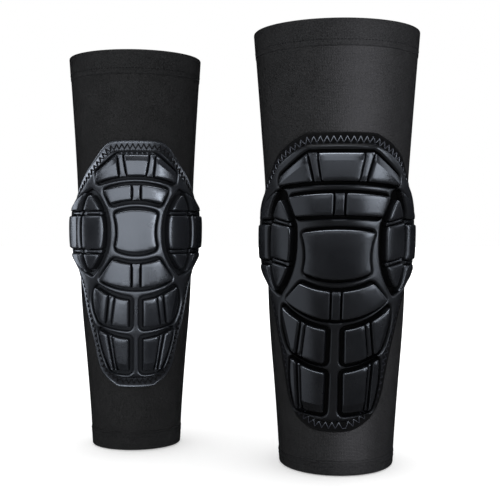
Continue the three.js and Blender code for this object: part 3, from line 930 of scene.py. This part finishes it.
def back_seam(guard):
    """A soft tape over the seam, with flat-lock thread across it, in an upper and a lower half."""
    top = guard.spec["height"]
    low_hem, high_hem = guard.spec["hems"]

    def step(v):
        return SEAM_STEP if v < low_hem or v > top - high_hem else 0.0

    u, n = np.array(SEAM_SECTION).T
    t = np.linspace(-1, 1, 6)
    arch = SEAM_THREAD["base"] + SEAM_THREAD["lift"] * (1 - t * t)
    for half, bottom, high in (("thigh", guard.middle, top - 2), ("calf", 2, guard.middle)):
        levels = np.linspace(bottom, high, round((high - bottom) / 3) + 1)
        build = Build(guard)
        starts = [build.add(guard.place(u, v, n + step(v), math.pi)) for v in levels]
        build.wall(starts, len(u))
        build.faces.append([starts[0] + i for i in reversed(range(len(u)))])
        build.faces.append([starts[-1] + i for i in range(len(u))])
        flat = [(across * MM, v * MM) for v in levels for across in u]
        uvs = [flat[i] for face in build.faces for i in face]
        name = f"back_seam_{half}"
        tape = make_object(f"{guard.name}_{name}_tape", build.points, build.faces, TAPE, uvs)
        assign(guard, tape, "seam", half, *half_nodes("back_seam", half))
        runs = []
        for i, v in enumerate(np.arange(bottom + 1.5, high - 1.5, SEAM_THREAD["pitch"])):
            lean = SEAM_THREAD["lean"] if i % 2 else -SEAM_THREAD["lean"]
            across = SEAM_THREAD["reach"] * t
            runs.append(np.column_stack([across, v + lean * t, arch + step(v)]))
        radius = SEAM_THREAD["radius"]
        thread = thread_tubes(guard, name + "_thread", runs, DARK_THREAD, radius, 5, math.pi)
        assign(guard, thread, "seam", half)


# -------- foam pads inside the sleeve


def baked(piece):
    """A mesh of the piece as its modifiers leave it."""
    bpy.context.view_layer.update()
    made = piece.evaluated_get(bpy.context.evaluated_depsgraph_get())
    return bpy.data.meshes.new_from_object(made)


def swell(piece):
    """Fills a closed pad by cloth simulation, no further than its reach."""
    copy = linked(piece.copy())
    copy.data = piece.data.copy()
    remesh = copy.modifiers.new("Even", "REMESH")
    remesh.mode = "VOXEL"
    remesh.voxel_size = FOAM_SWELL["grid"] * MM
    dressed = baked(copy)
    copy.modifiers.clear()
    copy.data = dressed
    start = np.array([v.co for v in dressed.vertices])
    cloth = copy.modifiers.new("Fill", "CLOTH")
    cloth.settings.use_pressure = True
    cloth.settings.uniform_pressure_force = FOAM_SWELL["pressure"]
    cloth.settings.effector_weights.gravity = 0
    cloth.settings.quality = 5
    cloth.collision_settings.use_collision = False
    scene = bpy.context.scene
    for number in range(1, FOAM_SWELL["frames"] + 1):
        scene.frame_set(number)
    settled = copy.evaluated_get(bpy.context.evaluated_depsgraph_get())
    moved = np.array([v.co for v in settled.data.vertices]) - start
    scene.frame_set(1)
    copy.modifiers.clear()
    far = np.linalg.norm(moved, axis=1, keepdims=True)
    start += moved * np.minimum(1, FOAM_SWELL["reach"] * MM / np.maximum(far, 1e-9))
    dressed.vertices.foreach_set("co", start.ravel())
    dressed.update()
    finer = copy.modifiers.new("Finer", "SUBSURF")
    finer.levels = finer.render_levels = 1
    piece.data = baked(copy)
    piece.data.shade_smooth()
    piece.data.materials.clear()
    piece.data.materials.append(LINER)
    bpy.data.objects.remove(copy)


def foam_pads(guard):
    """Three soft pads behind the moulded pad, in a mesh lining, with sewn channels across them."""
    spec = guard.spec
    half = spec["kneecap"]["upper"]["columns"][0] + FOAM_WIDER
    low, high = guard.middle - spec["foam_gap"], guard.middle + spec["foam_gap"]
    flange = spec["flange"]
    spans = {
        "lower": (flange[0][1] + FOAM_MARGIN, low - FOAM_HINGE, half - FOAM_NARROWING),
        "knee": (low + 1, high - 1, half),
        "upper": (high + FOAM_HINGE, flange[-1][1] - FOAM_MARGIN, half),
    }
    for body, (bottom, top, width) in spans.items():
        ends = (-width, width)
        sides = corner_sides(ends, ends, lambda u: bottom + 0 * u, lambda u: top + 0 * u)
        outline = rounded(sides, CORNERS["foam"], SPACING["foam"])
        build = Build(guard)
        starts = [build.ring(inset(outline, shift), n) for shift, n in FOAM_EDGE]
        build.wall(starts, len(outline))
        face = inset(outline, FOAM_EDGE[0][0])
        build.cap([starts[-1]], [face], SPACING["foam_face"], FOAM_FACES[1], False)
        build.cap([starts[0]], [face], SPACING["foam_face"], FOAM_FACES[0], True)
        piece = build.finish(f"foam_pad_{body}", LINER)
        swell(piece)
        channels(guard, piece, bottom, top)
        assign(guard, piece, "foam", body, f"foam_{body}")


def channels(guard, piece, bottom, top):
    """Presses sewn lines into the pad's inner face, across it, at even heights."""
    points = np.array([v.co for v in piece.data.vertices])
    count = max(1, round((top - bottom) / CHANNEL["spacing"])) - 1
    lines = np.linspace(bottom, top, count + 2)[1:-1] * MM
    if not len(lines):
        return
    from_axis = (points - (*guard.axis, 0)) * (1, 1, 0)
    radius = np.linalg.norm(from_axis, axis=1)
    near = np.abs(points[:, 2:3] - lines).min(1)
    depth = CHANNEL["depth"] * MM * np.exp(-((near / (CHANNEL["width"] * MM)) ** 2))
    inner = radius < np.median(radius)
    points[inner] += unit(from_axis[inner]) * depth[inner, None]
    piece.data.vertices.foreach_set("co", points.ravel())
    piece.data.update()


# -------- moulded pad


def plate_outline(plate, side):
    """The outline of a whole plate before its corners are rounded; side is 0 for a plate across."""
    lower, upper = plate["lower"], plate["upper"]
    low, high = row_edge(lower), row_edge(upper)
    half, half_up = lower["columns"][0], upper["columns"][0]
    if not side:
        waist = plate.get("waist", 0)
        return corner_sides((-half, half), (-half_up, half_up), low, high, (waist, -waist))
    near, near_up = lower["columns"][-1], upper["columns"][-1]
    sides = corner_sides((near, half), (near_up, half_up), low, high, (0, plate["bulge"]))
    return sides if side > 0 else mirror(sides)


def wing_point(wing, s, v):
    """The u of a wing's leaf shape at share s across it, from its inner side, and height v."""
    t = (v - wing["bottom"]) / (wing["top"] - wing["bottom"])
    full = 1 - np.abs(2 * np.clip(t, 0, 1) - 1) ** 2.6
    belly = wing["inside"] + (wing["outside"] - wing["inside"]) * s
    return wing["tip"] + (2 * s - 1) * WING_TIP + full * belly


def wing_sides(wing, low, high, rises):
    """Sides of the part of a wing between two heights; rises lift the outer end of each cut."""
    t = np.linspace(0, 1, 25)
    bottom, top = low + rises[0] * t, high + rises[1] * (1 - t)
    right = bottom[-1] + (top[0] - bottom[-1]) * t
    left = top[-1] + (bottom[0] - top[-1]) * t
    runs = ((t, bottom), (1, right), (1 - t, top), (0, left))
    return [np.column_stack([wing_point(wing, s, v), v]) for s, v in runs]


def block(build, side, sides, tall, radius, falls, gap=COLUMN_GAP):
    """One moulded block: a drafted wall, a rounded edge, and a top that is crowned and may fall.

    Each fall is (line, slope): the top drops away on the left of the line, or on its right if the
    slope is negative, and the line is a crease. A left-hand block is drawn as a right-hand one.
    """
    if side < 0:
        sides = mirror(sides)
        falls = [mirror_fall(fall) for fall in falls]
    outline = inset(rounded(sides, radius, SPACING["block"]), gap)

    def top(points):
        clear = gaps(points, outline)
        n = np.full(len(points), float(tall))
        for (p, q), slope in falls:
            run = unit(np.subtract(q, p))
            past = run[0] * (points[:, 1] - p[1]) - run[1] * (points[:, 0] - p[0])
            n = np.minimum(n, tall - np.maximum(slope * past, 0))
        n -= CROWN * (1 - np.minimum(clear / CROWN_REACH, 1)) ** 2
        return n, clear

    def rounding(clear):
        within = np.clip(ROUND - clear, 0, ROUND)
        return ROUND - np.sqrt(ROUND**2 - within**2)

    def surface(points):
        n, clear = top(points)
        return n - rounding(clear)

    def rubbed(points):
        return np.clip(gaps(points, outline) / WEAR_REACH, 0, 1)

    foot = inset(outline, -DRAFT)
    starts = [build.ring(foot, BLOCK_FLOOR), build.ring(foot, BLOCK_FLOOR + WALL_RING)]
    starts.append(build.ring(outline, surface(outline) - WALL_RING))
    room = room_inside(outline, ROUND)
    for share in EDGE_RINGS:
        last = inset(outline, share * room)
        clear = np.minimum(gaps(last, outline), share * ROUND)
        starts.append(build.ring(last, top(last)[0] - rounding(clear), clear / WEAR_REACH))
    # painted shade on the two lowest spans of the block's wall
    build.wall(starts, len(outline), shade_painted=2)
    creases = []
    for (p, q), _ in falls:
        run = np.subtract(q, p)
        line = np.array(p) + run * np.linspace(-0.3, 1.3, 90)[:, None]
        kept = line[inside(line, last) & (gaps(line, last) > 0.7)]
        if len(kept) > 3:
            kept = along(kept, 0, 0, SPACING["crease"])
            creases.append(np.vstack([kept[0] - run * 1e-3, kept, kept[-1] + run * 1e-3]))
    build.cap([starts[-1]], [last], SPACING["block_top"], surface, False, rubbed, creases)
    build.cap([starts[0]], [foot], SPACING["hidden"], BLOCK_FLOOR, True)


def row_blocks(build, plate, side):
    """The blocks of one plate: facets, with lower ribs between them."""
    spec = build.guard.spec
    lower, upper = plate["lower"], plate["upper"]
    low, high = row_edge(lower), row_edge(upper)
    columns = list(zip(lower["columns"], upper["columns"]))[::-1]
    if not side:
        columns = [(-a, -b) for a, b in reversed(columns)] + columns
    waist = plate.get("waist", 0)
    count = len(columns) - 1
    for i in range(count):
        (left, left_up), (end, end_up) = columns[i], columns[i + 1]
        is_rib = count > 1 and i % 2 == 1
        outermost = side and i == count - 1
        bows = (waist, plate["bulge"] if outermost else -waist)
        sides = corner_sides((left, end), (left_up, end_up), low, high, bows)
        falls = []
        if not is_rib and plate is spec["brow"]:
            falls = brow_falls(upper, spec["bevel"], left, end)
        elif not is_rib and side:
            falls = side_falls(plate is spec["shin"], outermost, sides)
        if is_rib:
            block(build, side, sides, plate["rib"], CORNERS["rib"], falls)
        else:
            radius = CORNERS["kneecap" if waist else "facet"]
            block(build, side, sides, plate["tall"], radius, falls)


def brow_falls(upper, band, left, end):
    """The brow's wide bevels: level across the middle block, and down along each shoulder."""
    slope = BEVEL_SLOPE["brow"]
    outer, corner = upper["columns"][:2]
    if left < 0 < end:
        level = upper["top"] - band
        return [(((-corner, level), (corner, level)), slope)]
    start, finish = np.array([corner, upper["top"]]), np.array([outer, upper["shoulder"]])
    run = unit(finish - start)
    down = np.array([run[1], -run[0]]) * band
    shoulder = ((start + down, finish + down), slope)
    return [shoulder] if left > 0 else [mirror_fall(shoulder)]


def side_falls(is_shin, outermost, sides):
    """Where the shin blocks fall away: outwards on the outer one, and towards the toe at the end."""
    bottom, right, top, _ = sides
    if is_shin and outermost:
        foot = bottom[0] + (bottom[-1] - bottom[0]) * SHIN_BEVEL[0]
        crown = right[-1] + (top[-1] - top[0]) * SHIN_BEVEL[1]
        return [((foot, crown), -BEVEL_SLOPE["shin"])]
    if is_shin or outermost:
        return []
    line = (bottom[0] + (0, TOE_BEVEL[0]), bottom[-1] + (0, TOE_BEVEL[1]))
    return [(line, -BEVEL_SLOPE["toe"])]


def wing_blocks(guard, key, side):
    """The blocks of one wing by the part that they are in: fin, rib and middle block."""
    wing = guard.spec[key]
    outer = key == "outer_wing"
    rise = 0 if outer else guard.spec["wing_rise"]
    low_cut, high_cut = wing["splits"]
    reach = WING_RIB + WING_GROOVE
    wide, narrow = WING_CHAMFER["wide"], WING_CHAMFER["narrow"]
    parts = {part: Build(guard) for part in ("lower", "middle", "upper")}
    cuts = [
        ("lower", wing["bottom"] + WING_END, low_cut - reach, (0, rise), True),
        ("lower", low_cut - WING_RIB, low_cut + WING_RIB, (rise, rise), False),
        ("middle", low_cut + reach, high_cut - reach, (rise, rise), True),
        ("upper", high_cut - WING_RIB, high_cut + WING_RIB, (rise, rise), False),
        ("upper", high_cut + reach, wing["top"] - WING_END, (rise, 0), True),
    ]
    for part, low, high, rises, is_block in cuts:
        sides = wing_sides(wing, low, high, rises)
        falls = []
        if outer and is_block:
            left = sides[3]
            foot = left[-3] + (narrow if part == "lower" else wide, 0)
            head = left[2] + (narrow if part == "upper" else wide, 0)
            falls = [((foot, head), BEVEL_SLOPE["wing"])]
        if is_block:
            block(parts[part], side, sides, wing["tall"], CORNERS["wing"], falls, WING_GAP)
        else:
            tall = wing["tall"] - WING_RIB_DROP[key]
            block(parts[part], side, sides, tall, CORNERS["wing_rib"], falls, WING_RIB_GAP)
    return parts


def flange_loop(guard):
    right = guard.spec["flange"]
    return smooth_loop([*right, *[(-u, v) for u, v in reversed(right)]], SPACING["flange"])


def pad_base(guard):
    """The sewn base sheet, and the raised deck on it with a pocket for each plate."""
    edge = flange_loop(guard)
    build = Build(guard)
    starts = []
    for shift, n in FLANGE_EDGE:
        loop = inset(edge, shift)
        starts.append(build.ring(loop, n, 0.2 if 0.2 < shift < 1.5 else 1.0))
    build.wall(starts, len(edge))
    # painted shade: faces of the sheet's top inside this loop, under the deck and so on the floors of
    # its pockets, take the darker rubber
    under = inset(edge, DECK_INSET + 1)
    top_n, bottom_n = FLANGE_EDGE[-1][1], FLANGE_EDGE[0][1]
    build.cap([starts[-1]], [loop], SPACING["flange_top"], top_n, False, recess=under)
    build.cap([starts[0]], [edge], SPACING["hidden"], bottom_n, True)
    in_halves(guard, build.finish("base_sheet", FLANGE), "pad_base", "pad_base")
    in_halves(guard, deck_mesh(guard, edge), "pad_webs")


def pockets(guard):
    """The outline of the pocket round each plate, in the pattern."""
    loops = []
    for key in ("brow", "upper_arch", "kneecap", "lower_arch", "shin", "shin_end"):
        is_side = key in ("shin", "shin_end")
        radius = CORNERS["side_pocket" if is_side else "pocket"]
        for side in (-1, 1) if is_side else (0,):
            loop = rounded(plate_outline(guard.spec[key], side), radius, SPACING["pocket"])
            loops.append(inset(loop, -GROOVE[key]))
    return [*loops, wing_pocket(guard, -1), wing_pocket(guard, 1)]


def wing_pocket(guard, side):
    """One leaf-shaped pocket for both wings of a side, wider than them towards the kneecap."""
    inner, outer = guard.spec["inner_wing"], guard.spec["outer_wing"]
    leaf = {
        "bottom": outer["bottom"] - 2.2,
        "top": outer["top"] + 2.2,
        "tip": inner["tip"],
        "inside": inner["inside"] - 3.2,
        "outside": outer["outside"] + outer["tip"] - inner["tip"] + 1.6,
    }
    sides = wing_sides(leaf, leaf["bottom"], leaf["top"], (0, 0))
    if side < 0:
        sides = mirror(sides)
    return rounded(sides, CORNERS["wing_pocket"], SPACING["wing_pocket"])


def deck_mesh(guard, edge):
    """The raised deck: a soft slope up from the flange all round, and a steep-walled pocket for
    each plate."""
    loops = [respaced(inset(edge, DECK_INSET), SPACING["deck"]), *pockets(guard)]
    build = Build(guard)
    tops = []
    starts = []
    bases = []
    for k, loop in enumerate(loops):
        others = [other for j, other in enumerate(loops) if j != k]
        room = np.min([gaps(loop, other) for other in others], axis=0)
        wall, inward = (DECK_RIM, -1) if k else (DECK_SLOPE, 1)
        part, most = DECK_ROOM["pocket" if k else "edge"]
        share = np.clip(part * room, 0.02, most)
        rings = []
        for shift, drop in wall:
            ring = inset(loop, inward * shift * share)
            rings.append(build.ring(ring, DECK_HIGH + drop, 0.25 if k and drop > -1 else 1.0))
        # painted shade on the lowest span of each pocket's wall
        build.wall(rings, len(loop), shade_painted=1 if k else 0, flip=k > 0)
        tops.append(ring)
        starts.append(rings[-1])
        bases.append(rings[0])
    build.cap(starts, tops, SPACING["deck_top"], DECK_HIGH, False)
    build.cap(bases, loops, SPACING["hidden"], DECK_HIGH + DECK_RIM[0][1], True)
    return build.finish("deck", FLANGE)


def pad_blocks(guard):
    spec = guard.spec
    rows = {"brow": "thigh", "upper_arch": "thigh", "kneecap": "knee", "lower_arch": "calf"}
    for key, where in rows.items():
        build = Build(guard)
        row_blocks(build, spec[key], 0)
        assign(guard, build.finish(f"{key}_blocks", PLATE), "plate", where, f"{key}_plate")
    for key in ("shin", "shin_end"):
        for side, hand in HANDS:
            build = Build(guard)
            row_blocks(build, spec[key], side)
            piece = build.finish(f"{key}_blocks_{hand}", PLATE)
            assign(guard, piece, "plate", "calf", f"{key}_plate_{hand}")
    places = {"lower": "calf", "middle": "knee", "upper": "thigh"}
    for key in ("inner_wing", "outer_wing"):
        for side, hand in HANDS:
            for part, build in wing_blocks(guard, key, side).items():
                piece = build.finish(f"{key}_{part}_{hand}", PLATE)
                nodes = [f"{key}_{hand}"] if part == "middle" else []
                assign(guard, piece, "plate", places[part], *nodes)


def zigzag(guard):
    """The zigzag seam that holds the flange on the sleeve, each stitch a short arched thread."""
    stitch = guard.spec["stitch"]
    reach = stitch["reach"]
    middle = inset(flange_loop(guard), stitch["inset"])
    length = steps(closed(middle)).sum()
    count = 2 * round(length / stitch["pitch"])
    line = respaced(middle, length / count)
    corners = inset(line, reach * np.where(np.arange(len(line)) % 2, 1, -1))
    t = np.linspace(0, 1, 7)
    arch = 2.02 + 0.5 * np.sin(math.pi * t) ** 0.6
    runs = [
        np.column_stack([p + (q - p) * t[:, None], arch])
        for p, q in zip(corners, np.roll(corners, -1, 0))
    ]
    t = np.linspace(0, 1, 4)[:, None]
    runs += [
        np.column_stack([p + (q - p) * t, [2.2, 2.5, 2.5, 2.2]])
        for p, q in zip(inset(line, reach + 0.6), inset(line, reach + 1.3))
    ]
    for half in HALVES:
        own = [run for run in runs if (run[:, 1].mean() > guard.middle) == (half == "thigh")]
        thread = thread_tubes(guard, f"zigzag_{half}", own, THREAD, stitch["radius"], 6)
        assign(guard, thread, "seam", half)


# -------- camera, light and stage

# the sort of surface that a word in a piece's name stands for; the other pieces are cloth
SORTS = {"blocks": "blocks", "wing": "blocks", "webs": "webs", "base": "base", "zigzag": "thread"}


CAMERA = {  # metres, degrees and, for the lens and its sensor, millimetres
    "place": (0.01025, -0.7763, 0.187), "pitch": 88.6, "lens": 67.5, "sensor": 36, "clip": (0.05, 20),
}
PAD_LIGHT, CLOTH_LIGHT = (0.86, 0.95, 1.1), (0.93, 0.92, 1.0)
SMALL_PAD, LARGE_PAD = (-0.085, 0, 0.22), (0.079, -0.08, 0.2)
SOFTBOXES = [  # name, place, aim, size, radiance, and the guard and the sorts of pieces that it lights
    ("overhead", (0, 0, 2.2), (0, 0, 0), (2, 2), 1.0, None),
    ("small_edges", (0, 0.04, 1.1), (0, -0.05, 0.2), (1.1, 0.4), 14, "small blocks"),
    ("small_front", (-0.08, -0.9, 0.31), (-0.08, 0, 0.31), (1.9, 0.6), 5.4, "small blocks webs"),
    ("small_right", (0.54, -0.56, 0.2), (-0.06, 0, 0.22), (0.16, 0.13), 30, "small blocks webs"),
    ("small_low", (-0.24, -0.4, 0.05), (-0.1, 0, 0.12), (0.5, 0.09), 4.0, "small blocks"),
    ("small_left", (-0.84, -0.27, 0.6), SMALL_PAD, (0.4, 0.4), 5.0, "small blocks webs base"),
    ("small_rim_left", (-0.92, 0.38, 0.3), SMALL_PAD, (0.5, 0.6), 2.6, "small blocks webs base"),
    ("small_rim_right", (0.85, 0.05, 0.5), SMALL_PAD, (0.4, 0.45), 5.0, "small blocks webs base"),
    ("small_base", (-0.1, -0.9, 0.5), SMALL_PAD, (1.6, 0.4), 3.0, "small base"),
    ("small_base_left", (-1.0, -0.05, 0.32), SMALL_PAD, (0.7, 0.6), 8.0, "small base"),
    ("small_base_right", (0.85, 0.1, 0.32), SMALL_PAD, (0.6, 0.6), 6.0, "small base"),
    ("small_base_low", (-0.1, -0.9, 0.09), (-0.085, 0, 0.1), (1.4, 0.16), 16, "small base"),
    ("large_edges", (0, -0.24, 1.1), (0, -0.05, 0.2), (1.1, 0.4), 15, "large blocks"),
    ("large_top", (0.05, -0.9, 1.25), LARGE_PAD, (1.0, 0.5), 2.8, "large blocks webs"),
    ("large_front", (0.08, -0.45, 0.275), (0.08, 0, 0.275), (0.6, 0.07), 2.6, "large blocks"),
    ("large_right", (0.7, -0.56, 0.33), LARGE_PAD, (0.42, 0.3), 9.0, "large blocks webs"),
    ("large_left", (-0.65, -0.35, 0.15), LARGE_PAD, (0.75, 0.7), 0.8, "large blocks webs"),
    ("large_rim_left", (-0.8, 0.1, 0.6), LARGE_PAD, (0.5, 0.4), 2.2, "large blocks webs"),
    ("large_rim_right", (0.95, 0.1, 0.55), LARGE_PAD, (0.5, 0.4), 1.6, "large blocks webs"),
    ("large_cloth", (0.62, -0.98, 0.27), LARGE_PAD, (1.25, 1.3), 1.0, "large cloth"),
    ("large_cloth_low", (0.4, -0.6, 0.07), (0.08, 0, 0.03), (0.9, 0.12), 1.6, "large cloth"),
    ("large_thread", (0.15, -0.95, 0.6), LARGE_PAD, (2.2, 0.9), 8, "large thread"),
]


def stage_and_light():
    scene = bpy.context.scene
    lens = bpy.data.cameras.new("camera")
    lens.lens, lens.sensor_width = CAMERA["lens"], CAMERA["sensor"]
    lens.clip_start, lens.clip_end = CAMERA["clip"]
    camera = linked(bpy.data.objects.new("camera", lens))
    camera.location = CAMERA["place"]
    camera.rotation_euler = (math.radians(CAMERA["pitch"]), 0, 0)
    scene.camera = camera

    floor_finish = Finish("floor", (0.86, 0.86, 0.86), Roughness=0.9, Specular_IOR_Level=0.1)
    where = floor_finish.node("TexCoord").outputs["Object"]
    away = floor_finish.node("VectorMath", {0: where}, operation="LENGTH").outputs["Value"]
    # painted light: the floor glows by its own emission, weakest close to the pair and strongest far
    # off
    painted_floor_glow = floor_finish.node("MapRange", {0: away, 1: 0.15, 2: 1.6, 3: 0.3, 4: 0.9}).outputs[0]
    floor_finish.shader.inputs["Emission Color"].default_value = (1, 1, 1, 1)
    floor_finish.link(painted_floor_glow, "Emission Strength")
    corners = [(x, y, -0.0005) for x, y in ((-8, -8), (8, -8), (8, 8), (-8, 8))]
    floor = make_object("floor", corners, [(0, 1, 2, 3)], floor_finish.material)
    floor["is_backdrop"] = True

    world = bpy.data.worlds.new("studio")
    world.use_nodes = True
    world.node_tree.nodes["Background"].inputs["Color"].default_value = (1, 1, 1, 1)
    scene.world = world
    world.cycles_visibility.glossy = False
    floor.visible_glossy = False
    scene.view_settings.view_transform = "Standard"

    lit = {}

    def receivers(only):
        """The collection of the pieces of one guard and of certain sorts, such as large webs."""
        if only not in lit:
            lit[only] = bpy.data.collections.new("lit " + only)
            guard_name, *sorts = only.split()
            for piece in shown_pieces():
                words = piece.name.split("_")
                sort = next((SORTS[word] for word in words if word in SORTS), "cloth")
                if words[0] == guard_name and sort in sorts:
                    lit[only].objects.link(piece)
        return lit[only]

    for name, place, aim, size, radiance, only in SOFTBOXES:
        light = bpy.data.lights.new(name, "AREA")
        light.shape = "RECTANGLE"
        light.size, light.size_y = size
        light.energy = radiance * math.pi * size[0] * size[1]
        lamp = linked(bpy.data.objects.new(name, light))
        lamp.location = place
        lamp.rotation_euler = (Vector(aim) - Vector(place)).to_track_quat("-Z", "Y").to_euler()
        lamp.visible_camera = False
        if only:
            light.color = CLOTH_LIGHT if "cloth" in only else PAD_LIGHT
            lamp.light_linking.receiver_collection = receivers(only)


# -------- the pair

for spec in (LARGE, SMALL):
    guard = Guard(spec)
    sleeve(guard)
    hem_stitches(guard)
    grip_strips(guard)
    back_seam(guard)
    foam_pads(guard)
    pad_base(guard)
    pad_blocks(guard)
    zigzag(guard)
stage_and_light()
